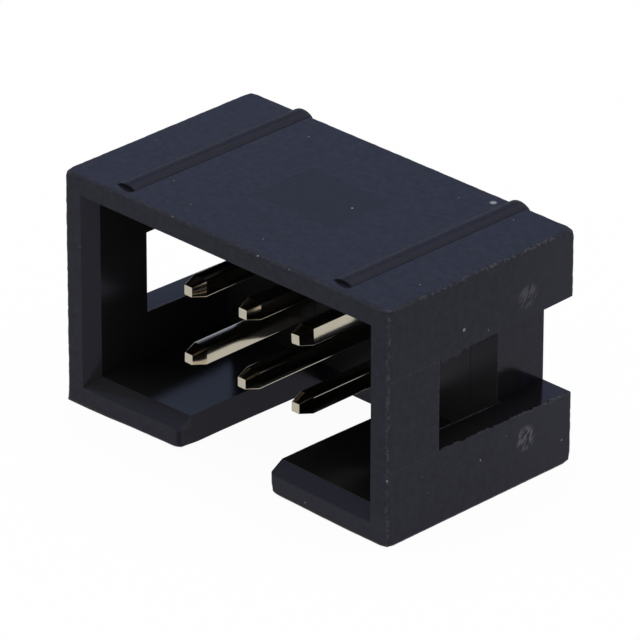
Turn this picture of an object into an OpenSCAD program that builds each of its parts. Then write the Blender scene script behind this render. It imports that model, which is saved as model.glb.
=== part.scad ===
// Shrouded pin header for a ribbon cable socket, lying on its keyed wall.
// X runs along the contact columns, Y from the mouth to the board side, Z up from the keyed wall.

/* [Contacts] */
// Number of contact columns along the body
columns = 3; // [2:1:8]
// Number of contact rows across the body
rows = 2; // [1:1:2]
// Distance between neighbouring contacts
pitch = 2.54; // [2.3:0.02:2.8]
// Side of the square contact wire
pin_side = 0.64; // [0.5:0.02:0.8]
// Radius of the wire's long edges
pin_edge_r = 0.06; // [0.03:0.01:0.12]
// Side of the flat at a contact's tip
tip_flat = 0.36; // [0.2:0.02:0.44]
// Length of the taper at either end of a contact
tip_l = 0.55; // [0.3:0.05:1]
// Depth of the contact tips behind the mouth
tip_setback = 0.84; // [0.3:0.02:2]
// Length of the solder tails behind the board face
tail_l = 3; // [2:0.1:4]
// Gap all round between a contact and its hole
pin_fit = 0.01; // [0:0.005:0.04]

/* [Shroud] */
// Reach from the last contact's centre to the outer end face
end_reach = 5.1; // [4.4:0.05:6]
// Reach from the last contact's centre to the outer face of a long wall
side_reach = 3.1; // [2.8:0.02:3.6]
// Depth from the mouth to the board face
shroud_d = 8.86; // [8:0.02:12]
// Thickness of the end walls
end_wall = 1.12; // [0.8:0.02:1.4]
// Thickness of the long walls
side_wall = 1.08; // [0.8:0.02:1.3]
// Thickness of the base that holds the contacts
base_t = 2.28; // [1.5:0.02:3]
// Radius of the outer edges and of the key slot's front edges
edge_r = 0.12; // [0.05:0.01:0.3]
// Width of the lead-in chamfer round the inside of the mouth
lead_in_w = 0.34; // [0.2:0.01:0.6]
// Depth of the lead-in chamfer
lead_in_d = 0.58; // [0.2:0.02:1]
// Height of the raised pad on the cavity floor
pad_h = 0.02; // [0.02:0.01:0.2]
// Reach of the pad past the last contact's centre
pad_reach = 2.54; // [1:0.02:3]

/* [End windows] */
// Height of the window at its front edge, on the outside
window_h = 3.34; // [2.4:0.02:3.8]
// Offset of the windows above the middle of the body
window_rise = 0.07; // [0:0.01:0.2]
// Distance from the mouth to the window
window_front = 2.42; // [1:0.02:4]
// Slope of the window's front and upper faces, as a setback on the inside of the wall
window_taper = 0.32; // [0.1:0.02:0.5]
// Depth of the channel's cut into the ends of the base, at the board face
channel_bite = 0.24; // [0.2:0.02:0.4]
// Growth of the channel's upper, lower and inner faces from the window to the board face
channel_draft = 0.15; // [0.05:0.01:0.18]

/* [Key slot] */
// Width of the slot in the lower wall
slot_w = 4.36; // [3:0.02:5]
// Length of the slot from the mouth
slot_l = 7.1; // [6.8:0.05:7.6]

/* [Ribs and mould marks] */
// Distance of a rib's centre line from the end face
rib_inset = 2.54; // [1:0.02:3]
// Width of a rib at its foot
rib_w = 0.82; // [0.4:0.02:1.2]
// Height of a rib
rib_h = 0.13; // [0.1:0.01:0.4]
// Distance from the mouth to the front end of the ribs
rib_front = 0.45; // [0.2:0.05:2]
// Length of the plain panel on the upper wall, along the columns
panel_l = 3.76; // [2:0.02:5]
// Width of the plain panel, along the mating direction
panel_w = 2.88; // [1.5:0.02:4]
// Offset of the panel's centre from the middle of the body
panel_x = 0.12; // [-0.6:0.02:0.6]
// Distance from the mouth to the panel's centre
panel_y = 4.5; // [4:0.05:5]
// Depth of the panel
panel_depth = 0.02; // [0.01:0.01:0.1]
// Diameter of the round gate marks on one end wall
gate_d = 0.95; // [0.6:0.05:1.2]
// Depth of the gate marks
gate_depth = 0.05; // [0.02:0.01:0.2]
// Distance from the mouth to the gate marks
gate_y = 6.6; // [5:0.05:7.5]
// Distance of a gate mark from the window's edge
gate_rise = 0.98; // [0.8:0.02:1.2]

/* [Hidden] */
$fn = 48;
// Overshoot of a cut past the face that it opens
over = 1;
span_l = (columns - 1) * pitch;
span_h = (rows - 1) * pitch;
body_l = span_l + 2 * end_reach;
body_h = span_h + 2 * side_reach;
mid_z = body_h / 2;
// The origin lies under the middle of the part, tails included
mouth_y = -(shroud_d + tail_l) / 2;
board_y = mouth_y + shroud_d;
floor_y = board_y - base_t;
tip_y = mouth_y + tip_setback;
tail_y = board_y + tail_l;
end_x = body_l / 2;
window_y = mouth_y + window_front;
window_z = mid_z + window_rise;
// Inner face of a channel beside the window's front edge
channel_x = end_x - end_wall - channel_bite + channel_draft;
cavity_l = body_l - 2 * end_wall;
cavity_h = body_h - 2 * side_wall;
pad_l = span_l + 2 * pad_reach;
rib_r = (rib_w * rib_w / 4 + rib_h * rib_h) / (2 * rib_h);
contacts = columns * rows;

// Rectangle about the origin with true round corners
module rounded_rectangle(l, w, r) {
    square([l - 2 * r, w], center = true);
    square([l, w - 2 * r], center = true);
    for (x = [-1, 1], y = [-1, 1]) {
        translate([x * (l / 2 - r), y * (w / 2 - r)]) circle(r);
    }
}

// Extrudes an outline drawn in X and Z along Y, from y0 to y1
module along_y(y0, y1) {
    translate([0, y1, 0]) rotate([90, 0, 0]) linear_extrude(y1 - y0) children();
}

// Block about the origin with all twelve edges rounded
module rounded_block(l, d, h, r) {
    intersection() {
        along_y(-d / 2 - over, d / 2 + over) rounded_rectangle(l, h, r);
        linear_extrude(h + 2 * over, center = true) rounded_rectangle(l, d, r);
        rotate([90, 0, 90]) {
            linear_extrude(l + 2 * over, center = true) rounded_rectangle(d, h, r);
        }
    }
}

// Centre of a contact in X and Z: odd numbers in the lower row, even ones in the upper row
function contact_place(i) = [
    floor((i - 1) / rows) * pitch - span_l / 2,
    mid_z + ((i - 1) % rows) * pitch - span_h / 2
];

module at_contact(i) {
    place = contact_place(i);
    translate([place[0], 0, place[1]]) children();
}

// Outline that narrows to the tip's flat at both ends, wider than the wire between them
module taper_outline() {
    middle_y = (tip_y + tail_y) / 2;
    slope = (pin_side - tip_flat) / 2 / tip_l;
    half_tip = tip_flat / 2;
    half_middle = half_tip + slope * (middle_y - tip_y);
    polygon([
        [-half_tip, tip_y], [half_tip, tip_y], [half_middle, middle_y],
        [half_tip, tail_y], [-half_tip, tail_y], [-half_middle, middle_y]
    ]);
}

// Square wire with a four-sided taper at each end
module contact(i) {
    color([0.80, 0.72, 0.52]) at_contact(i) intersection() {
        along_y(tip_y - over, tail_y + over) rounded_rectangle(pin_side, pin_side, pin_edge_r);
        linear_extrude(pin_side + over, center = true) taper_outline();
        rotate([0, 90, 0]) linear_extrude(pin_side + over, center = true) taper_outline();
    }
}

// Wedge-sided cut that widens the cavity towards the mouth, for one pair of walls
module lead_in_outline(width) {
    half_in = width / 2;
    half_out = half_in + lead_in_w / lead_in_d * (lead_in_d + over);
    polygon([
        [-half_out, mouth_y - over], [half_out, mouth_y - over],
        [half_in, mouth_y + lead_in_d], [-half_in, mouth_y + lead_in_d]
    ]);
}

module lead_in_cut() {
    translate([0, 0, mid_z]) intersection() {
        linear_extrude(body_h, center = true) lead_in_outline(cavity_l);
        rotate([0, 90, 0]) linear_extrude(body_l, center = true) lead_in_outline(cavity_h);
    }
}

// Hollow of the shroud, with the raised pad left standing on its floor
module cavity() {
    difference() {
        translate([-cavity_l / 2, mouth_y - over, side_wall]) {
            cube([cavity_l, floor_y - mouth_y + over, cavity_h]);
        }
        translate([-pad_l / 2, floor_y - pad_h, side_wall - over]) {
            cube([pad_l, pad_h + over, cavity_h + 2 * over]);
        }
    }
}

// Outline of a channel in X and Y, with the window's sloping front face
module channel_plan(side) {
    slope = window_taper / end_wall;
    polygon([
        [side * (end_x + over), window_y - slope * over],
        [side * channel_x, window_y + slope * (end_x - channel_x)],
        [side * (channel_x - channel_draft), board_y],
        [side * (channel_x - channel_draft), board_y + over],
        [side * (end_x + over), board_y + over]
    ]);
}

// Outline of a channel in Y and Z, growing towards the board face
module channel_profile() {
    half_h = window_h / 2;
    grown_h = half_h + channel_draft;
    translate([0, window_z]) polygon([
        [window_y - over, -half_h], [window_y, -half_h], [board_y, -grown_h], [board_y + over, -grown_h],
        [board_y + over, grown_h], [board_y, grown_h], [window_y, half_h], [window_y - over, half_h]
    ]);
}

// Outline of a channel in X and Z, with the window's sloping upper face
module channel_section(side) {
    top_z = window_z + window_h / 2 + channel_draft;
    slope = (window_taper + channel_draft) / end_wall;
    near_x = channel_x - channel_draft - over;
    polygon([
        [side * near_x, 0], [side * (end_x + over), 0],
        [side * (end_x + over), top_z + slope * over],
        [side * near_x, top_z - slope * (end_x - near_x)]
    ]);
}

// Window in one end wall, running on as an open channel along the base to the board face
module end_channel(side) {
    intersection() {
        linear_extrude(body_h) channel_plan(side);
        rotate([90, 0, 90]) linear_extrude(body_l + 2 * over, center = true) channel_profile();
        along_y(window_y - over, board_y + over) channel_section(side);
    }
}

// Outline of the corner that a round front edge of the key slot leaves open
module slot_flare() {
    difference() {
        translate([0, -over]) square([edge_r, edge_r + over]);
        translate([edge_r, edge_r]) circle(edge_r);
    }
}

// Slot in the lower wall, open to the mouth between two rounded edges
module key_slot() {
    translate([0, mouth_y, -over]) linear_extrude(side_wall + over) {
        translate([-slot_w / 2, -over]) square([slot_w, slot_l + over]);
        translate([slot_w / 2, 0]) slot_flare();
        translate([-slot_w / 2, 0]) mirror([1, 0]) slot_flare();
    }
}

module contact_holes() {
    hole_side = pin_side + 2 * pin_fit;
    for (i = [1:contacts]) {
        at_contact(i) along_y(floor_y - pad_h - over, board_y + over) {
            rounded_rectangle(hole_side, hole_side, pin_edge_r + pin_fit);
        }
    }
}

// Low round-backed rib on the upper wall
module rib(side) {
    translate([side * (end_x - rib_inset), board_y, body_h + rib_h - rib_r]) {
        rotate([90, 0, 0]) cylinder(r = rib_r, h = shroud_d - rib_front);
    }
}

module panel() {
    translate([panel_x - panel_l / 2, mouth_y + panel_y - panel_w / 2, body_h - panel_depth]) {
        cube([panel_l, panel_w, panel_depth + over]);
    }
}

module gate_marks() {
    for (side = [-1, 1]) {
        mark_z = mid_z + side * (window_h / 2 + gate_rise);
        translate([end_x - gate_depth, mouth_y + gate_y, mark_z]) {
            rotate([0, 90, 0]) cylinder(d = gate_d, h = gate_depth + over);
        }
    }
}

// One moulding: base, four walls, windows, key slot, ribs and mould marks
module housing() {
    color([0.11, 0.12, 0.16]) difference() {
        union() {
            translate([0, mouth_y + shroud_d / 2, mid_z]) {
                rounded_block(body_l, shroud_d, body_h, edge_r);
            }
            rib(-1);
            rib(1);
        }
        cavity();
        lead_in_cut();
        end_channel(-1);
        end_channel(1);
        key_slot();
        contact_holes();
        panel();
        gate_marks();
    }
}

housing();
for (i = [1:contacts]) {
    contact(i);
}
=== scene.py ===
"""Looks of a small shrouded pin header that lies on its keyed wall.

One moulded housing with flash at its windows, and six plated contacts. Shapes are worked in
millimetres and put into the frame's metres at the end.
"""
import math
from functools import reduce

import bmesh
import bpy
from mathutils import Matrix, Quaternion, Vector, noise


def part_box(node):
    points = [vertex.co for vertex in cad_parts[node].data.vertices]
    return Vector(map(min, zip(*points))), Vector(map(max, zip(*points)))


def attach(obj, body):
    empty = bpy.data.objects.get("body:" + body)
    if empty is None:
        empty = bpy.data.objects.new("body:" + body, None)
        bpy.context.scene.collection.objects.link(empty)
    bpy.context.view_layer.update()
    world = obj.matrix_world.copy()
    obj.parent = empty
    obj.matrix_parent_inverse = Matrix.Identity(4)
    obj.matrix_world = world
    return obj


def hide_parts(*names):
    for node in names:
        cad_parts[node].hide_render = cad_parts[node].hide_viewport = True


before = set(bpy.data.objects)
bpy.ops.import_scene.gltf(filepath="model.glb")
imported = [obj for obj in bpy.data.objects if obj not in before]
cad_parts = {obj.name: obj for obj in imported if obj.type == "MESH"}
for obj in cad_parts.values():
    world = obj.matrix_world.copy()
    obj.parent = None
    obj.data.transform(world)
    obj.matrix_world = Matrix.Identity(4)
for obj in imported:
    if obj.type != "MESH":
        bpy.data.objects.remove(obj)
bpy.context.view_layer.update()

MM = 0.001
PLASTIC_SLOT = "housing_plastic"
METAL_SLOT = "contact_metal"


def in_mm(node):
    """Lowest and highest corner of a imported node, in millimetres."""
    low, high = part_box(node)
    return low / MM, high / MM


# Housing: X along the contact columns, Y from the mouth to the board end, Z up from the keyed wall
BODY_LOW, BODY_HIGH = in_mm("housing")
MOUTH_Y = BODY_LOW.y
BOARD_Y = BODY_HIGH.y
MID_Y = (MOUTH_Y + BOARD_Y) / 2
END_X = BODY_HIGH.x
TOP_Z = 8.74
MID_Z = TOP_Z / 2
EDGE_R = 0.12
ROUND_END = EDGE_R + 0.005
FLOOR_Y = BOARD_Y - 2.28
INNER_X = END_X - 1.12
INNER_HALF = MID_Z - 1.08
LEAD_IN_W = 0.34
LEAD_IN_D = 0.58
SLOT_HALF = 2.18
LOWER_WALL_Z = 1.3
RIB_X = END_X - 2.54
GATE_Y = MOUTH_Y + 6.6
GATE_RISE = 2.65
GATE_R = 0.475
GATE_REACH = 0.5
GATE_DEPTH = 0.06
PANEL_X, PANEL_HALF_X = 0.12, 1.85
PANEL_Y, PANEL_HALF_Y = MOUTH_Y + 4.5, 1.41

# Windows in the end walls, and the drafted channels from them to the board end
WINDOW_Y = MOUTH_Y + 2.42
WINDOW_Z = MID_Z + 0.07
WINDOW_HALF = 1.67
SILL_Z = WINDOW_Z - WINDOW_HALF
LINTEL_Z = WINDOW_Z + WINDOW_HALF
CHANNEL_DRAFT = 0.15
CHANNEL_X = END_X - 1.304

# How near a point lies to a surface or an edge to count as on it
ON_SKIN = 0.01
ON_FACE = 0.02
ON_EDGE = 0.03

# Camera, from the photograph's corners
CAMERA_AZIMUTH = 44.804
CAMERA_ELEVATION = 26.688
CAMERA_ROLL = 0.117
CAMERA_DISTANCE = 244.58
CAMERA_LENS = 408.7
CAMERA_SENSOR = 36.0
CAMERA_NEAR = 10.0
CAMERA_TARGET = Vector((0.104, -1.486, 4.217))

# Surroundings: floor and lamp in metres and watts, the sky's heights as parts of its radius
WHITE = (1.0, 1.0, 1.0, 1.0)
FLOOR_HALF = 1.0
FLOOR_TONE = (0.9, 0.9, 0.9, 1.0)
FLOOR_GLOW = 0.96
HORIZON_TONE = (0.9, 0.92, 1.0, 1.0)
SKY_TONE = (0.41, 0.49, 0.72, 1.0)
SKY_RISE = (0.05, 0.3)
SKY_LIGHT = (0.45, 0.45, 0.45, 1.0)
LAMP_PLACE = Vector((0.0, 0.0, 0.4))
LAMP_SIZE = 0.3
LAMP_POWER = 1.05

# Mesh of the moulding
MERGE_GAP = 1e-4
CUT_GAP = 1e-5
LEVEL_ANGLE = math.radians(0.5)
SHARP_ANGLE = math.radians(24)
SQUARE = 0.99999
SKIN_STEP = 0.3
RIM_STEP = 0.12

# Faults of the moulding: ragged edges, whose waves have a share and a number per millimetre,
# soft corners, one sharp edge and almost level steps
RAGGED = 0.03
RAGGED_BELOW = RAGGED / 3
RAG_BASE = 0.4
RAG_WAVES = ((0.7, 5.0), (0.5, 13.0))
CORNER_REACH = 0.42
SHARP_SHARE = 0.2
SHARP_RUN = (1.0, 3.0)
PACKED_STEP = (0.015, 0.03)
PANEL_CLEAR = 1.0
PAD_CLEAR = 0.1
PANEL_SINK = 0.002
PAD_STEP = 0.008
GATE_SINK = 0.001

# Lower wall halves, drawn inwards beside the key slot as the moulding cooled
WARP = 0.08
WARP_RUN_X = (SLOT_HALF, 5.6)
WARP_RUN_Y = (MOUTH_Y + 2.5, MOUTH_Y + 7.0)
WARP_RUN_Z = (LOWER_WALL_Z, 1.9)

# Fins of flash: their two ends along Y, height over the edge that they grow from, raggedness
LEDGE_FIN = ((WINDOW_Y + 0.3, FLOOR_Y - 0.4), 0.03, 0.4)
UPPER_BURR = ((WINDOW_Y + 0.05, WINDOW_Y + 1.4), -0.08, 1.6)
LEDGE_TEETH = ((WINDOW_Y + 0.03, BOARD_Y - 0.3), 0.045, 1.5)
INNER_FIN_X = (INNER_X, INNER_X + 0.03)
OUTER_FIN_X = (END_X - 0.04, END_X - 0.002)
FIN_STEP = 0.05
FIN_ROOT = 0.02
FIN_LEAST = 0.05
FIN_WAVE = 8
FIN_SWELL, FIN_SWELL_SCALE = 0.7, 0.3

# Contacts: square wire, tapered at both ends
CONTACTS = sorted(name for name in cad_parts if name.startswith("contact_"))
PIN_SIDE = 0.64
PIN_EDGE_R = 0.055
PIN_EDGE_SEGMENTS = 4
TIP_Y = MOUTH_Y + 0.84
TIP_FLAT = 0.36
TIP_L = 0.55
LENGTHWISE = 0.1
# Tip offset in X and Z, and twist, of the contacts that stand a little off their places
STRAIGHT = (0.0, 0.0, 0.0)
SET = {
    "contact_1": (0.0, 0.0, -0.025),
    "contact_4": (0.06, 0.07, 0.0),
    "contact_6": (0.0, 0.0, 0.065),
}
SET_ROOT_Y = FLOOR_Y - 0.1
SET_CUTS = (MOUTH_Y + 1.6, FLOOR_Y, 0.5)
TWIST_RUN = 1.5
BEND_RUN = 5.6

# Tones of the plastic, outside and then inside, painted light and painted shade among them
DEEP_BLACK = (0.0078, 0.0078, 0.0124, 1.0)
PALE_BLACK = (0.0135, 0.0135, 0.0207, 1.0)
STREAK_TONE, STREAK_SHARE = (0.016, 0.014, 0.017, 1.0), 0.15
PANEL_TONE, PANEL_SHARE = (0.0068, 0.0056, 0.0088, 1.0), 0.6
# Painted light, paler towards the board end and low on the front face
PAINTED_LIGHT_TONE, PAINTED_LIGHT_SHARE = (0.0215, 0.0205, 0.0285, 1.0), 0.5
# Painted shade, a neutral dark low in the window channels
CHANNEL_SHADE_TONE = (0.0118, 0.0114, 0.0126, 1.0)
INNER_TONE = (0.0138, 0.0135, 0.0148, 1.0)
# Painted shade on the lower wall's inner face, then painted light on the base face and low beside
# the right window
LOWER_WALL_SHADE_TONE = (0.0112, 0.011, 0.0119, 1.0)
BASE_FACE_LIGHT_TONE = (0.015, 0.0146, 0.015, 1.0)
WINDOW_LIGHT_TONE = (0.028, 0.0275, 0.028, 1.0)
SHADE_TONE = (0.0085, 0.0082, 0.009, 1.0)
SLOPE_TONE = (0.022, 0.021, 0.024, 1.0)

# Wear and marks on the plastic, with painted light on the ribs' flanks and painted glints along
# the windows' edges
WORN_AND_LIT_TONE = (0.024, 0.024, 0.029, 1.0)
WORN_FROM = 0.08
LIP_WEAR = 0.7
# Wear over the whole rib, and painted light on its flanks
RIB_WEAR, FLANK_LIGHT = 0.15, 0.6
MARK_TONE = (0.15, 0.15, 0.16, 1.0)
CHIP_AND_GLINT_SHARE, MOUTH_CHIP_LACK = 0.3, 0.18
SCAR_SHARE, LINE_SHARE = 0.6, 0.12
UPPER_SCAR = 0.47
# Painted glint on the windows' front edges
FRONT_GLINT = 0.7
FLECK_TONE, FLECK_SHARE = (0.3, 0.3, 0.31, 1.0), 0.8

# Where marks and tones fade in or out: two places, two distances or two levels of noise
SCAR_R = 1.15 * GATE_R
SCAR_FADE = (0.45, 0.55)
LINE_FADE = (0.015, 0.035)
LINE_BREAKS = (0.3, 0.6)
CHIP_FADE = (0.45, 0.72)
MOTTLE_FADE = (0.3, 0.7)
FRONT_GLINT_W = 0.04
LIP_RISE, LIP_W = 0.02, 0.05
LIP_FADE = (0.03, 0.07)
LIP_FADE_Y = (WINDOW_Y, BOARD_Y - 1.0)
CHANNEL_SHADE_FADE_Z = (MID_Z - 0.8, MID_Z + 0.2)
RIB_FADE_Z = (TOP_Z + 0.005, TOP_Z + 0.03)
RIB_FOOT_Z = TOP_Z + 0.004
RIB_END_Y = MOUTH_Y + 0.51
FLANK_FADE = (0.06, 0.2)
SHADE_FADE_Y = (MOUTH_Y + 1.0, WINDOW_Y)
WINDOW_LIGHT_FADE_X = (2.5, 4.0)
WINDOW_LIGHT_FADE_Y = (WINDOW_Y + 1.5, WINDOW_Y + 2.5)
WINDOW_LIGHT_FADE_Z = (2.5, 5.0)
PAINTED_LIGHT_FADE_Y = (MOUTH_Y + 4.0, BOARD_Y)
PAINTED_LIGHT_FADE_Z = (0.6, 1.6)
PANEL_FADE = (-0.05, 0.05)
PANEL_LOW_Z = TOP_Z - 0.1

# Grain of the plastic, as waves per millimetre, then its sheen
GRAIN_SCALE = 14.0
CHIP_SCALE = 9.0
MOTTLE_SCALE = 4.5
STREAK_SCALE = (9.0, 9.0, 0.4)
SCAR_SCALE_Y, SCAR_SCALE_Z, SCAR_SLANT = 7.0, 3.0, 0.6
GRAIN_PART, STREAK_PART = 0.6, 0.4
GRAIN_DEPTH = 0.003
POLISH = 0.1
GRAIN_MATT, EDGE_MATT, RIB_MATT, SHADE_MATT = 0.05, 0.3, 0.55, 0.12
SHEEN = 0.13
SHEEN_TINT = (0.62, 0.65, 1.0, 1.0)

# Finish of the flash and of the plating
FLASH_DARK = (0.03, 0.03, 0.034, 1.0)
FLASH_PALE = (0.075, 0.075, 0.08, 1.0)
FLASH_SCALE = 6.0
FLASH_FADE = (0.35, 0.65)
FLASH_MATT = 0.5
PLATING_DEEP = (0.42, 0.385, 0.305, 1.0)
PLATING_PALE = (0.46, 0.43, 0.35, 1.0)
TAPER_TONE, TAPER_SHARE = (0.36, 0.27, 0.17, 1.0), 0.7
TAPER_START = (0.01, 0.05)
TAPER_END = (TIP_L - 0.1, TIP_L + 0.05)
PLATING_SCALE = 2.0
WIRE_SCALE = (30.0, 0.8, 30.0)
WIRE_DEPTH = 0.0004
WIRE_POLISH, WIRE_MATT = 0.08, 0.06

# Light flecks, with y from the mouth: x, y, radius on the upper wall, y, z, radius on the right
# end wall, and x, y, z, radius along the front edges
TOP_FLECKS = (
    (4.38, 8.33, 0.15), (5.77, 7.85, 0.028), (6.95, 2.18, 0.03), (-7.11, 3.77, 0.019),
    (-4.37, 1.98, 0.025), (-2.66, 1.10, 0.025), (-3.61, 7.62, 0.031), (0.92, 0.95, 0.027),
    (1.35, 4.70, 0.052), (3.31, 7.78, 0.025),
)
END_FLECKS = (
    (3.56, 6.85, 0.075), (4.72, 6.43, 0.028), (4.42, 1.70, 0.044), (8.37, 1.00, 0.042),
    (1.63, 2.11, 0.02), (1.94, 1.41, 0.018), (5.67, 2.14, 0.022),
)
FRONT_FLECKS = (
    (-2.45, 0.05, 8.72, 0.029), (1.60, 0.02, 8.68, 0.042), (3.05, 0.02, 8.69, 0.034),
    (-6.91, 0.0, 6.08, 0.021), (3.84, 0.0, 0.34, 0.035), (7.60, 0.03, 2.54, 0.047),
    (3.17, 0.2, 0.77, 0.03),
)


class Wire:
    """A shader socket that takes part in Python sums. Each sum adds a Math node."""

    def __init__(self, tree, socket):
        self.tree = tree
        self.socket = socket

    def node(self, kind, settings=None, inputs=None, output=0):
        """Adds any other node: its type, its settings, then the values or links of its sockets."""
        made = self.tree.nodes.new(kind)
        for name, value in (settings or {}).items():
            setattr(made, name, value)
        for name, value in (inputs or {}).items():
            if isinstance(value, Wire):
                self.tree.links.new(value.socket, made.inputs[name])
            else:
                made.inputs[name].default_value = value
        return Wire(self.tree, made.outputs[output] if made.outputs else None)

    def sum(self, operation, first, second):
        """Adds a Math node."""
        return self.node("ShaderNodeMath", {"operation": operation}, {0: first, 1: second})

    def __add__(self, other):
        return self.sum("ADD", self, other)

    __radd__ = __add__

    def __sub__(self, other):
        return self.sum("SUBTRACT", self, other)

    def __rsub__(self, other):
        return self.sum("SUBTRACT", other, self)

    def __mul__(self, other):
        return self.sum("MULTIPLY", self, other)

    __rmul__ = __mul__

    def __gt__(self, other):
        return self.sum("GREATER_THAN", self, other)

    def __lt__(self, other):
        return self.sum("LESS_THAN", self, other)

    def __abs__(self):
        return self.sum("ABSOLUTE", self, 0)

    def larger(self, other):
        """The larger of two values."""
        return self.sum("MAXIMUM", self, other)

    def smaller(self, other):
        """The smaller of two values."""
        return self.sum("MINIMUM", self, other)

    def vector(self, operation, inputs, output=0):
        """Adds a Vector Math node."""
        return self.node("ShaderNodeVectorMath", {"operation": operation}, inputs, output)

    def rise(self, low, high):
        """0 below low, 1 above high and smooth between."""
        ends = {"Value": self, "From Min": low, "From Max": high}
        return self.node("ShaderNodeMapRange", {"interpolation_type": "SMOOTHSTEP"}, ends)

    def noise(self, scale=1.0, detail=2.0, stretch=None):
        """Grey noise on this vector; stretch holds the pattern's scale along each axis."""
        vector = self.vector("MULTIPLY", {0: self, 1: stretch}) if stretch else self
        inputs = {"Vector": vector, "Scale": scale, "Detail": detail}
        return self.node("ShaderNodeTexNoise", inputs=inputs)

    def spot(self, centre, radius):
        """1 within half the radius of a point, falling to 0 at the radius."""
        away = self.vector("DISTANCE", {0: self, 1: centre}, "Value")
        return 1 - away.rise(radius / 2, radius)

    def axes(self):
        """The three parts of this vector."""
        return [self.node("ShaderNodeSeparateXYZ", inputs={0: self}, output=k) for k in range(3)]

    def mix(self, first, second):
        """Colour between first and second by this factor."""
        inputs = {0: self, 6: first, 7: second}
        return self.node("ShaderNodeMix", {"data_type": "RGBA"}, inputs, 2)

    def bump(self, depth):
        """Normal of this relief, whose depth is given in millimetres."""
        inputs = {"Height": self, "Distance": depth * MM, "Strength": 1.0}
        return self.node("ShaderNodeBump", inputs=inputs)


def new_material(name):
    """An empty material and the object coordinates that it is drawn on, in millimetres."""
    material = bpy.data.materials.new(name)
    material.use_nodes = True
    material.node_tree.nodes.clear()
    start = Wire(material.node_tree, None).node("ShaderNodeTexCoord", output="Object")
    return material, start.vector("SCALE", {0: start, "Scale": 1 / MM})


def close_material(place, inputs):
    """Ends a material in one Principled shader."""
    shader = place.node("ShaderNodeBsdfPrincipled", inputs=inputs)
    place.node("ShaderNodeOutputMaterial", inputs={"Surface": shader})


def outer_edge(place):
    """1 on the rounded outer edges of the body and 0 away from them."""
    x, y, z = place.axes()
    from_end = END_X - abs(x)
    from_face = (y - MOUTH_Y).smaller(BOARD_Y - y)
    from_wall = z.smaller(TOP_Z - z)
    second = from_end.smaller(from_face).larger(from_end.larger(from_face).smaller(from_wall))
    return 1 - second.rise(WORN_FROM, ROUND_END)


def gate_scars(place):
    """1 on the torn strokes of the lower gate mark, less on the upper one and 0 away from them."""
    lower, upper = (
        place.spot((END_X, GATE_Y, MID_Z + side * GATE_RISE), SCAR_R) for side in (-1, 1)
    )
    _, y, z = place.axes()
    slanted = {"X": SCAR_SCALE_Y * (y - SCAR_SLANT * z), "Y": SCAR_SCALE_Z * z}
    strokes = place.node("ShaderNodeCombineXYZ", inputs=slanted).noise(detail=4.0)
    return lower.larger(UPPER_SCAR * upper) * strokes.rise(*SCAR_FADE)


def flecks(place):
    """1 on the light flecks and 0 away from them."""
    spots = [(x, y, TOP_Z, radius) for x, y, radius in TOP_FLECKS]
    spots += [(END_X, y, z, radius) for y, z, radius in END_FLECKS]
    spots += FRONT_FLECKS
    masks = [place.spot((x, MOUTH_Y + y, z), radius) for x, y, z, radius in spots]
    return reduce(Wire.larger, masks)


def witness_lines(place):
    """1 on the fine mould lines that run from the mouth to the windows' corners."""
    x, y, z = place.axes()
    away = abs(z - LINTEL_Z).smaller(abs(z - SILL_Z))
    return (1 - away.rise(*LINE_FADE)) * (abs(x) > END_X - ON_FACE) * (y < WINDOW_Y)


def window_edge_glints(place):
    """1 on the upright edges of the windows, where thin light lines are painted as their glints,
    and 0 away from them.
    """
    x, y, z = place.axes()
    front = FRONT_GLINT * (abs(x) > END_X - ON_EDGE) * (abs(y - WINDOW_Y) < FRONT_GLINT_W)
    rear = (abs(abs(x) - CHANNEL_X) < ON_EDGE) * (abs(y - FLOOR_Y) < ON_EDGE)
    return (abs(z - WINDOW_Z) < WINDOW_HALF) * front.larger(rear)


def ledge_lip(place):
    """1 on the ragged outer lip of the windows' ledges and 0 away from it."""
    x, y, z = place.axes()
    slope = CHANNEL_DRAFT / (BOARD_Y - WINDOW_Y)
    above = z - SILL_Z + slope * (y - WINDOW_Y)
    close = 1 - abs(above - LIP_RISE).rise(*LIP_FADE)
    return close * (abs(x) > END_X - LIP_W) * y.rise(*LIP_FADE_Y)


def inner_faces(place):
    """1 on the inner faces of the shroud, then 1 on the sloped faces round its mouth."""
    x, y, z = place.axes()
    beyond = (abs(x) - INNER_X).larger(abs(z - MID_Z) - INNER_HALF)
    inside = (beyond < ON_FACE) * (y < FLOOR_Y + ON_FACE)
    depth = y - MOUTH_Y
    slopes = (beyond < LEAD_IN_W + ON_FACE) * (depth > ON_SKIN) * (depth < LEAD_IN_D)
    return inside, slopes


def channel_shade(place):
    """Painted shade: 1 low in the channels from the windows to the board end, falling to 0 higher
    up.
    """
    x, y, z = place.axes()
    low = (z > SILL_Z - CHANNEL_DRAFT - ON_FACE) * (1 - z.rise(*CHANNEL_SHADE_FADE_Z))
    across = (abs(x) > CHANNEL_X - ON_EDGE) * (abs(x) < END_X - ON_EDGE)
    return low * across * (y > WINDOW_Y + ON_EDGE)


def rib_faces(place):
    """1 on the ribs and 0 away from them."""
    return place.axes()[2].rise(*RIB_FADE_Z)


def rib_ends(place):
    """1 on the front ends of the ribs and 0 away from them."""
    _, y, z = place.axes()
    return (z > RIB_FOOT_Z) * (y < RIB_END_Y)


def slot_shade(place):
    """1 on the key slot's sides and on the lower wall's inner face right of it, near the mouth."""
    x, y, z = place.axes()
    sides = (abs(abs(x) - SLOT_HALF) < ON_SKIN) * (y > MOUTH_Y + EDGE_R)
    beside = (x > SLOT_HALF) * (x < INNER_X) * (1 - y.rise(*SHADE_FADE_Y))
    return (z < LOWER_WALL_Z) * sides.larger(beside * (y > MOUTH_Y + LEAD_IN_D))


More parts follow.
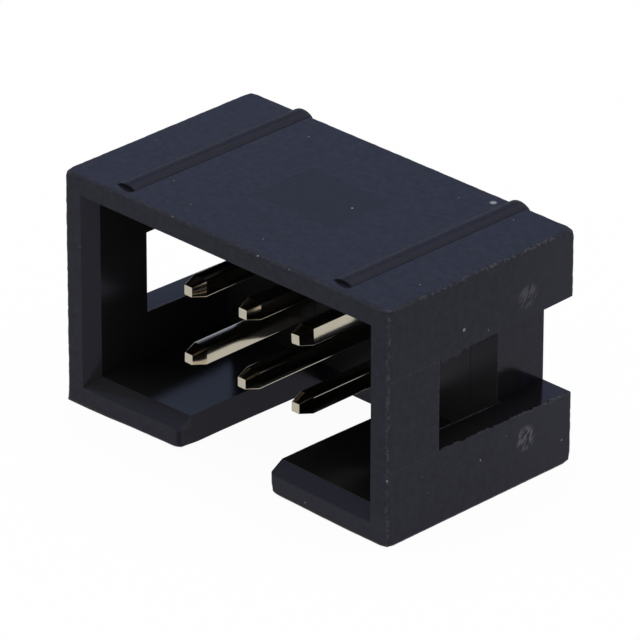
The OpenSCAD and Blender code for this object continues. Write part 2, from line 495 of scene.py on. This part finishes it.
def window_painted_light(place):
    """Painted light: 1 on the cavity's faces low beside the right window, falling to 0 away from
    it.
    """
    x, y, z = place.axes()
    return x.rise(*WINDOW_LIGHT_FADE_X) * y.rise(*WINDOW_LIGHT_FADE_Y) * (1 - z.rise(*WINDOW_LIGHT_FADE_Z))


def painted_light(place):
    """Painted light: 1 towards the board end of the end walls and low on the front face right of
    the slot.
    """
    x, y, z = place.axes()
    ends = (abs(x) > END_X - ON_FACE) * (z < TOP_Z - EDGE_R) * y.rise(*PAINTED_LIGHT_FADE_Y)
    front = (y < MOUTH_Y + ON_SKIN) * (x > SLOT_HALF) * (1 - z.rise(*PAINTED_LIGHT_FADE_Z))
    return ends.larger(front)


def panel_area(place):
    """1 on the plain panel of the upper wall and 0 away from it."""
    x, y, z = place.axes()
    beyond = (abs(x - PANEL_X) - PANEL_HALF_X, abs(y - PANEL_Y) - PANEL_HALF_Y)
    across, along = (1 - past.rise(*PANEL_FADE) for past in beyond)
    return across * along * (z > PANEL_LOW_Z)


def outer_skin(place, streak):
    """Colour of the outside: mottled blue-black, paler in streaks, with painted light towards the
    board end and low on the front, and painted shade low in the channels.
    """
    black = place.noise(MOTTLE_SCALE, 3.0).rise(*MOTTLE_FADE).mix(DEEP_BLACK, PALE_BLACK)
    streaked = (streak * STREAK_SHARE).mix(black, STREAK_TONE)
    panelled = (panel_area(place) * PANEL_SHARE).mix(streaked, PANEL_TONE)
    # Painted light towards the board end and low on the front face right of the slot
    lightened = (painted_light(place) * PAINTED_LIGHT_SHARE).mix(panelled, PAINTED_LIGHT_TONE)
    # Painted shade low in the window channels
    return channel_shade(place).mix(lightened, CHANNEL_SHADE_TONE)


def inner_skin(place, base_face):
    """Colour of the shroud's inside, with painted shade on the lower wall, and painted light on
    the base face and low beside the right window.
    """
    x, _, z = place.axes()
    lower_wall = (z < LOWER_WALL_Z) * (abs(x) < INNER_X - ON_FACE)
    walls = lower_wall.mix(INNER_TONE, LOWER_WALL_SHADE_TONE)
    return window_painted_light(place).mix(base_face.mix(walls, BASE_FACE_LIGHT_TONE), WINDOW_LIGHT_TONE)


def rib_wear_and_light(place):
    """Light tone on the ribs: some wear, and painted light on their flanks, none at their front
    ends.
    """
    flank = abs(abs(place.axes()[0]) - RIB_X).rise(*FLANK_FADE)
    return rib_faces(place) * (RIB_WEAR + FLANK_LIGHT * flank) * (1 - rib_ends(place))


def light_marks_and_glints(place, edges):
    """Light chips along the edges, painted glints along the windows' upright edges, torn gate
    marks and mould lines.
    """
    _, y, z = place.axes()
    fine = place.noise(CHIP_SCALE)
    mouth_edge = (y < MOUTH_Y + EDGE_R) * (z > TOP_Z - EDGE_R)
    chipped = (CHIP_AND_GLINT_SHARE - MOUTH_CHIP_LACK * mouth_edge) * edges
    # Painted glints along the windows' upright edges, broken up like the chips
    chips_and_glints = chipped.larger(CHIP_AND_GLINT_SHARE * window_edge_glints(place)) * fine.rise(*CHIP_FADE)
    lines = LINE_SHARE * witness_lines(place) * fine.rise(*LINE_BREAKS)
    return chips_and_glints.larger(gate_scars(place).larger(lines) * SCAR_SHARE)


def header_plastic():
    """Satin blue-black moulding with fine grain, worn edges, torn gate marks and flecks, and
    painted light and shade.
    """
    material, place = new_material("header_plastic")
    grain = place.noise(GRAIN_SCALE, 3.0)
    streak = place.noise(stretch=STREAK_SCALE)
    edges = outer_edge(place).larger(LIP_WEAR * ledge_lip(place))
    inside, slopes = inner_faces(place)
    base_face = inside * (abs(place.axes()[1] - FLOOR_Y) < ON_EDGE)
    shade = slot_shade(place)
    skin = inside.mix(outer_skin(place, streak), inner_skin(place, base_face))
    shaded = shade.larger(rib_ends(place)).mix(skin, SHADE_TONE)
    lined = slopes.mix(shaded, SLOPE_TONE)
    # Worn edges, and wear with painted light on the ribs
    worn = edges.larger(rib_wear_and_light(place)).mix(lined, WORN_AND_LIT_TONE)
    marked = light_marks_and_glints(place, edges).mix(worn, MARK_TONE)
    matt = (EDGE_MATT * edges).larger(RIB_MATT * rib_faces(place))
    matt = matt.larger(SHADE_MATT * base_face.larger(shade))
    close_material(place, {
        "Base Color": (flecks(place) * FLECK_SHARE).mix(marked, FLECK_TONE),
        "Roughness": POLISH + GRAIN_MATT * grain + matt,
        "Specular IOR Level": SHEEN,
        "Specular Tint": SHEEN_TINT,
        "Normal": (grain * GRAIN_PART + streak * STREAK_PART).bump(GRAIN_DEPTH),
    })
    return material


def flash_plastic():
    """Thin flash of the same plastic, pale where it was strained."""
    material, place = new_material("flash_plastic")
    strain = place.noise(FLASH_SCALE).rise(*FLASH_FADE)
    close_material(place, {
        "Base Color": strain.mix(FLASH_DARK, FLASH_PALE),
        "Roughness": FLASH_MATT,
    })
    return material


def plated_metal():
    """Pale gold plating on drawn wire, with fine lines along its length."""
    material, place = new_material("plated_metal")
    lines = place.noise(detail=3.0, stretch=WIRE_SCALE)
    plated = place.noise(PLATING_SCALE).mix(PLATING_DEEP, PLATING_PALE)
    from_tip = place.axes()[1] - TIP_Y
    taper = from_tip.rise(*TAPER_START) * (1 - from_tip.rise(*TAPER_END))
    close_material(place, {
        "Base Color": (taper * TAPER_SHARE).mix(plated, TAPER_TONE),
        "Metallic": 1.0,
        "Roughness": WIRE_POLISH + WIRE_MATT * lines,
        "Normal": (lines * (1 - taper)).bump(WIRE_DEPTH),
    })
    return material


def rises(value, low, high):
    """0 below low, 1 above high and even between."""
    return min(max((value - low) / (high - low), 0.0), 1.0)


def ledge_z(y):
    """Height of the lower face of a window's channel."""
    return SILL_Z - CHANNEL_DRAFT * rises(y, WINDOW_Y, BOARD_Y)


def lintel_z(y):
    """Height of the upper outer edge of a window and its channel."""
    return LINTEL_Z + CHANNEL_DRAFT * rises(y, WINDOW_Y, BOARD_Y)


def cut_across(bm, faces, axis, places):
    """Cuts faces along planes square to one axis."""
    normal = Vector((0, 0, 0))
    normal[axis] = 1
    for place in places:
        geom = {part for f in faces if f.is_valid for part in (f, *f.edges, *f.verts)}
        cut = bmesh.ops.bisect_plane(
            bm, geom=list(geom), dist=CUT_GAP, plane_co=normal * place, plane_no=normal
        )
        faces = [part for part in cut["geom"] if isinstance(part, bmesh.types.BMFace)]


def steps(low, high, step):
    """Even places between two ends."""
    count = max(int((high - low) / step), 1)
    return [low + k * (high - low) / count for k in range(1, count)]


def cut_skin(bm):
    """Cuts the large faces into a grid that can bend, clear of the edges that are there."""
    for axis in range(3):
        places = sorted({round(vert.co[axis], 3) for vert in bm.verts})
        cuts = [c for a, b in zip(places, places[1:]) for c in steps(a, b, SKIN_STEP)]
        cut_across(bm, bm.faces[:], axis, cuts)


def outer_distances(point):
    """Distances of a point from the nearest outer end, face and wall, in rising order."""
    from_face = min(point.y - MOUTH_Y, BOARD_Y - point.y)
    return sorted((END_X - abs(point.x), from_face, min(point.z, TOP_Z - point.z)))


def on_rim(vert):
    """Whether a vertex lies on a rounded outer edge."""
    near = outer_distances(vert.co)
    return -ON_SKIN < near[0] and near[1] < EDGE_R + ON_SKIN


def run_of(face):
    """Axis that a face runs along."""
    spans = [max(v.co[k] for v in face.verts) - min(v.co[k] for v in face.verts) for k in range(3)]
    return spans.index(max(spans))


def cut_rims(bm):
    """Cuts the rounded outer edges into short steps along their length."""
    for axis in range(3):
        faces = [f for f in bm.faces if run_of(f) == axis and all(on_rim(v) for v in f.verts)]
        low, high = BODY_LOW[axis] + 2 * EDGE_R, BODY_HIGH[axis] - 2 * EDGE_R
        cut_across(bm, faces, axis, steps(low, high, RIM_STEP))


def roughen_rims(bm):
    """Wears the outer edges away a little, unevenly, and least below."""
    for vert in bm.verts:
        if on_rim(vert):
            crest = max(1 - outer_distances(vert.co)[1] / EDGE_R, 0)
            worn = RAG_BASE
            for share, scale in RAG_WAVES:
                worn += share * noise.noise(vert.co * scale)
            depth = RAGGED if vert.co.z > EDGE_R else RAGGED_BELOW
            vert.co -= vert.normal * depth * crest * max(worn, 0)


def at_gate(point):
    """Whether a point lies in one of the round gate marks."""
    if point.x < END_X - GATE_DEPTH or abs(point.y - GATE_Y) > GATE_REACH:
        return False
    return abs(abs(point.z - MID_Z) - GATE_RISE) < GATE_REACH


def fill_gates(bm):
    """Fills the gate marks, whose torn skin lies level with the wall."""
    for vert in bm.verts:
        if at_gate(vert.co) and vert.co.x < END_X - ON_EDGE:
            vert.co.x = END_X - GATE_SINK


def fade_steps(bm):
    """Leaves the panel of the upper wall and the pad in the cavity almost level."""
    low, high = PACKED_STEP
    for vert in bm.verts:
        if low < TOP_Z - vert.co.z < high and outer_distances(vert.co)[1] > PANEL_CLEAR:
            vert.co.z = TOP_Z - PANEL_SINK
        if low < FLOOR_Y - vert.co.y < high and abs(vert.co.x) < INNER_X - PAD_CLEAR:
            vert.co.y = FLOOR_Y - PAD_STEP


def is_flat(face):
    """Whether a face lies square to an axis."""
    return max(abs(part) for part in face.normal) > SQUARE


def at_corner(edge):
    """Whether an edge lies on one of the eight outer corners."""
    return all(sum(outer_distances(vert.co)) < CORNER_REACH for vert in edge.verts)


def part_flats(bm):
    """Parts the shading of the flat faces from that of the rounded edges beside them."""
    bm.normal_update()
    for edge in bm.edges:
        first, second = edge.link_faces
        edge.smooth = at_corner(edge) or is_flat(first) == is_flat(second)


def corner_push(near):
    """How far a point moves along each axis, from its distances to a corner's three faces."""
    lack = max(CORNER_REACH - sum(near), 0)
    return lack * lack / (6 * CORNER_REACH)


def soften_corners(bm):
    """Rounds the outer corners off more than their edges, all but one that stayed sharp."""
    for vert in bm.verts:
        near = outer_distances(vert.co)
        sharp = vert.co.x < 0 and vert.co.y < FLOOR_Y and vert.co.z < MID_Z
        if near[0] > -ON_SKIN and not sharp:
            push = corner_push(near)
            vert.co.x -= math.copysign(push, vert.co.x)
            vert.co.y += push if vert.co.y < MID_Y else -push
            vert.co.z += push if vert.co.z < MID_Z else -push


def soften_slot(bm):
    """Rounds the lower front corners of the key slot off."""
    for vert in bm.verts:
        near = (abs(vert.co.x) - SLOT_HALF, vert.co.y - MOUTH_Y, vert.co.z)
        if min(near) > -ON_SKIN:
            push = corner_push(near)
            vert.co += Vector((math.copysign(push, vert.co.x), push, push))


def sharpen_edge(bm):
    """Tightens the lower front edge towards the corner that stayed sharp."""
    for vert in bm.verts:
        depth, height = vert.co.y - MOUTH_Y, vert.co.z
        if max(depth, height) < ROUND_END:
            kept = SHARP_SHARE + (1 - SHARP_SHARE) * rises(vert.co.x + END_X, *SHARP_RUN)
            vert.co.y = MOUTH_Y + depth * kept
            vert.co.z = height * kept


def warp_lower_wall(bm):
    """Draws the two halves of the lower wall inwards, most at the key slot's front corners."""
    for vert in bm.verts:
        across = 1 - rises(abs(vert.co.x), *WARP_RUN_X)
        along = 1 - rises(vert.co.y, *WARP_RUN_Y)
        inside = 1 - rises(vert.co.z, *WARP_RUN_Z)
        vert.co.z += WARP * across * along * inside


def moulded_housing(plastic):
    """The housing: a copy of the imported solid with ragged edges, soft corners and warp."""
    bm = bmesh.new()
    bm.from_mesh(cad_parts["housing"].data)
    bmesh.ops.scale(bm, vec=Vector((1, 1, 1)) / MM, verts=bm.verts)
    bmesh.ops.remove_doubles(bm, verts=bm.verts, dist=MERGE_GAP)
    bmesh.ops.dissolve_limit(bm, angle_limit=LEVEL_ANGLE, verts=bm.verts, edges=bm.edges)
    cut_skin(bm)
    cut_rims(bm)
    bm.normal_update()
    roughen_rims(bm)
    fill_gates(bm)
    fade_steps(bm)
    part_flats(bm)
    soften_corners(bm)
    soften_slot(bm)
    sharpen_edge(bm)
    warp_lower_wall(bm)
    return finish_piece(bm, "moulded_housing", plastic, PLASTIC_SLOT, "housing")


def window_fin(material, name, x, rail, run, height, jag):
    """Thin fin of flash along a window's edge, ragged along its free side.

    x holds its two faces and run its two ends, rail gives the height of the edge at each place.
    """
    low, high = Vector((x[0], run[0], 0)), Vector((x[1], run[1], 1))
    bm = bmesh.new()
    bmesh.ops.create_cube(bm, size=1)
    bmesh.ops.scale(bm, vec=high - low, verts=bm.verts)
    bmesh.ops.translate(bm, vec=(low + high) / 2, verts=bm.verts)
    cut_across(bm, bm.faces[:], 1, steps(*run, FIN_STEP))
    for vert in bm.verts:
        along = Vector((vert.co.y * FIN_WAVE, x[0], height))
        wave = noise.noise(along) + FIN_SWELL * noise.noise(along * FIN_SWELL_SCALE)
        free = height * max(1 + jag * wave, FIN_LEAST)
        root = -math.copysign(FIN_ROOT, height)
        vert.co.z = rail(vert.co.y) + (free if vert.co.z > 0.5 else root)
    bmesh.ops.recalc_face_normals(bm, faces=bm.faces)
    return finish_piece(bm, name, material, PLASTIC_SLOT)


def window_flash(plastic, flash, side, name):
    """Flash of one window: an inner fin on its ledge and burrs above."""
    inner = sorted(side * x for x in INNER_FIN_X)
    outer = sorted(side * x for x in OUTER_FIN_X)
    window_fin(flash, "ledge_fin_" + name, inner, ledge_z, *LEDGE_FIN)
    window_fin(plastic, "upper_burr_" + name, outer, lintel_z, *UPPER_BURR)


def runs_along(edge):
    """Whether an edge runs along the wire."""
    return abs(edge.verts[0].co.y - edge.verts[1].co.y) > LENGTHWISE


def square_wire(metal, node):
    """One contact: square wire with rounded long edges that run on along the tapers."""
    low, high = in_mm(node)
    middle = (low + high) / 2
    bm = bmesh.new()
    bmesh.ops.create_cube(bm, size=1)
    bmesh.ops.scale(bm, vec=high - low, verts=bm.verts)
    bmesh.ops.bevel(
        bm, geom=[edge for edge in bm.edges if runs_along(edge)], offset=PIN_EDGE_R,
        segments=PIN_EDGE_SEGMENTS, profile=0.5, affect="EDGES", material=-1
    )
    shoulder = (high.y - low.y) / 2 - TIP_L
    cut_across(bm, bm.faces[:], 1, (-shoulder, shoulder))
    for vert in bm.verts:
        if abs(vert.co.y) > shoulder + LENGTHWISE:
            vert.co.x *= TIP_FLAT / PIN_SIDE
            vert.co.z *= TIP_FLAT / PIN_SIDE
    for edge in bm.edges:
        edge.smooth = runs_along(edge)
    bmesh.ops.translate(bm, vec=middle, verts=bm.verts)
    set_wire(bm, middle, *SET.get(node, STRAIGHT))
    return finish_piece(bm, "wire_" + node, metal, METAL_SLOT, node)


def set_wire(bm, middle, across, up, twist):
    """Bends a contact's free length, most at its tip, and twists it on its axis."""
    cut_across(bm, bm.faces[:], 1, steps(*SET_CUTS))
    for vert in bm.verts:
        free = SET_ROOT_Y - vert.co.y
        turned = Quaternion((0, -1, 0), twist * rises(free, 0, TWIST_RUN)) @ (vert.co - middle)
        bent = rises(free, 0, BEND_RUN) ** 2
        vert.co = middle + turned + Vector((across * bent, 0, up * bent))


def finish_piece(bm, name, material, slot, *nodes):
    """Turns millimetres into a smooth-shaded piece in the frame, in the place of these nodes."""
    for face in bm.faces:
        face.smooth = True
    for edge in bm.edges:
        edge.smooth = edge.smooth and (edge.calc_face_angle(0) < SHARP_ANGLE or at_corner(edge))
    bmesh.ops.scale(bm, vec=Vector((1, 1, 1)) * MM, verts=bm.verts)
    mesh = bpy.data.meshes.new(name)
    bm.to_mesh(mesh)
    bm.free()
    mesh.materials.append(material)
    piece = bpy.data.objects.new(name, mesh)
    bpy.context.scene.collection.objects.link(piece)
    weighted = piece.modifiers.new("even_normals", "WEIGHTED_NORMAL")
    weighted.keep_sharp = True
    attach(piece, "root")
    if nodes:
        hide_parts(*nodes)
    return piece


def make_camera():
    """Camera with the photograph's view of the part."""
    azimuth, elevation = math.radians(CAMERA_AZIMUTH), math.radians(CAMERA_ELEVATION)
    flat = math.cos(elevation)
    back = Vector((math.sin(azimuth) * flat, -math.cos(azimuth) * flat, math.sin(elevation)))
    roll = Quaternion((0, 0, 1), math.radians(CAMERA_ROLL))
    data = bpy.data.cameras.new("camera")
    data.lens = CAMERA_LENS
    data.sensor_width = CAMERA_SENSOR
    data.clip_start = CAMERA_NEAR * MM
    camera = bpy.data.objects.new("camera", data)
    camera.location = (CAMERA_TARGET + back * CAMERA_DISTANCE) * MM
    camera.rotation_euler = ((-back).to_track_quat("-Z", "Y") @ roll).to_euler()
    bpy.context.scene.collection.objects.link(camera)
    bpy.context.scene.camera = camera


def seen_directly(place):
    """1 for camera, glossy and transmission rays, which see the white surroundings."""
    rays = ("Is Camera Ray", "Is Glossy Ray", "Is Transmission Ray")
    return reduce(Wire.larger, [place.node("ShaderNodeLightPath", output=ray) for ray in rays])


def floor_white():
    """Pale floor that looks white and keeps a soft shadow."""
    material, place = new_material("floor_white")
    pale = place.node("ShaderNodeBsdfDiffuse", inputs={"Color": FLOOR_TONE})
    glow = place.node("ShaderNodeEmission", inputs={"Color": WHITE, "Strength": 1.0})
    share = seen_directly(place) * FLOOR_GLOW
    both = place.node("ShaderNodeMixShader", inputs={0: share, 1: pale, 2: glow})
    place.node("ShaderNodeOutputMaterial", inputs={"Surface": both})
    return material


def make_floor():
    """One large square under the part."""
    bm = bmesh.new()
    bmesh.ops.create_grid(bm, x_segments=1, y_segments=1, size=FLOOR_HALF)
    mesh = bpy.data.meshes.new("floor")
    bm.to_mesh(mesh)
    bm.free()
    mesh.materials.append(floor_white())
    floor = bpy.data.objects.new("floor", mesh)
    bpy.context.scene.collection.objects.link(floor)


def make_world():
    """Surroundings, pale at the horizon and cool above, that light the part with an even grey."""
    world = bpy.data.worlds.new("surroundings")
    world.use_nodes = True
    world.node_tree.nodes.clear()
    place = Wire(world.node_tree, None)
    height = place.node("ShaderNodeTexCoord", output="Generated").axes()[2]
    seen = height.rise(*SKY_RISE).mix(HORIZON_TONE, SKY_TONE)
    colour = seen_directly(place).mix(SKY_LIGHT, seen)
    sky = place.node("ShaderNodeBackground", inputs={"Color": colour, "Strength": 1.0})
    place.node("ShaderNodeOutputWorld", inputs={"Surface": sky})
    bpy.context.scene.world = world


def make_lamp():
    """Soft square lamp over the part."""
    data = bpy.data.lights.new("overhead_lamp", "AREA")
    data.size = LAMP_SIZE
    data.energy = LAMP_POWER
    lamp = bpy.data.objects.new("overhead_lamp", data)
    lamp.location = LAMP_PLACE
    lamp.rotation_euler = LAMP_PLACE.to_track_quat("Z", "Y").to_euler()
    bpy.context.scene.collection.objects.link(lamp)


make_camera()
make_world()
make_floor()
make_lamp()
plastic = header_plastic()
moulded_housing(plastic)
flash = flash_plastic()
window_flash(plastic, flash, 1, "right")
window_flash(plastic, flash, -1, "left")
# Ragged outer lip of the right window's ledge
window_fin(plastic, "ledge_teeth", OUTER_FIN_X, ledge_z, *LEDGE_TEETH)
metal = plated_metal()
for contact_name in CONTACTS:
    square_wire(metal, contact_name)

bpy.context.scene.view_settings.view_transform = "Standard"
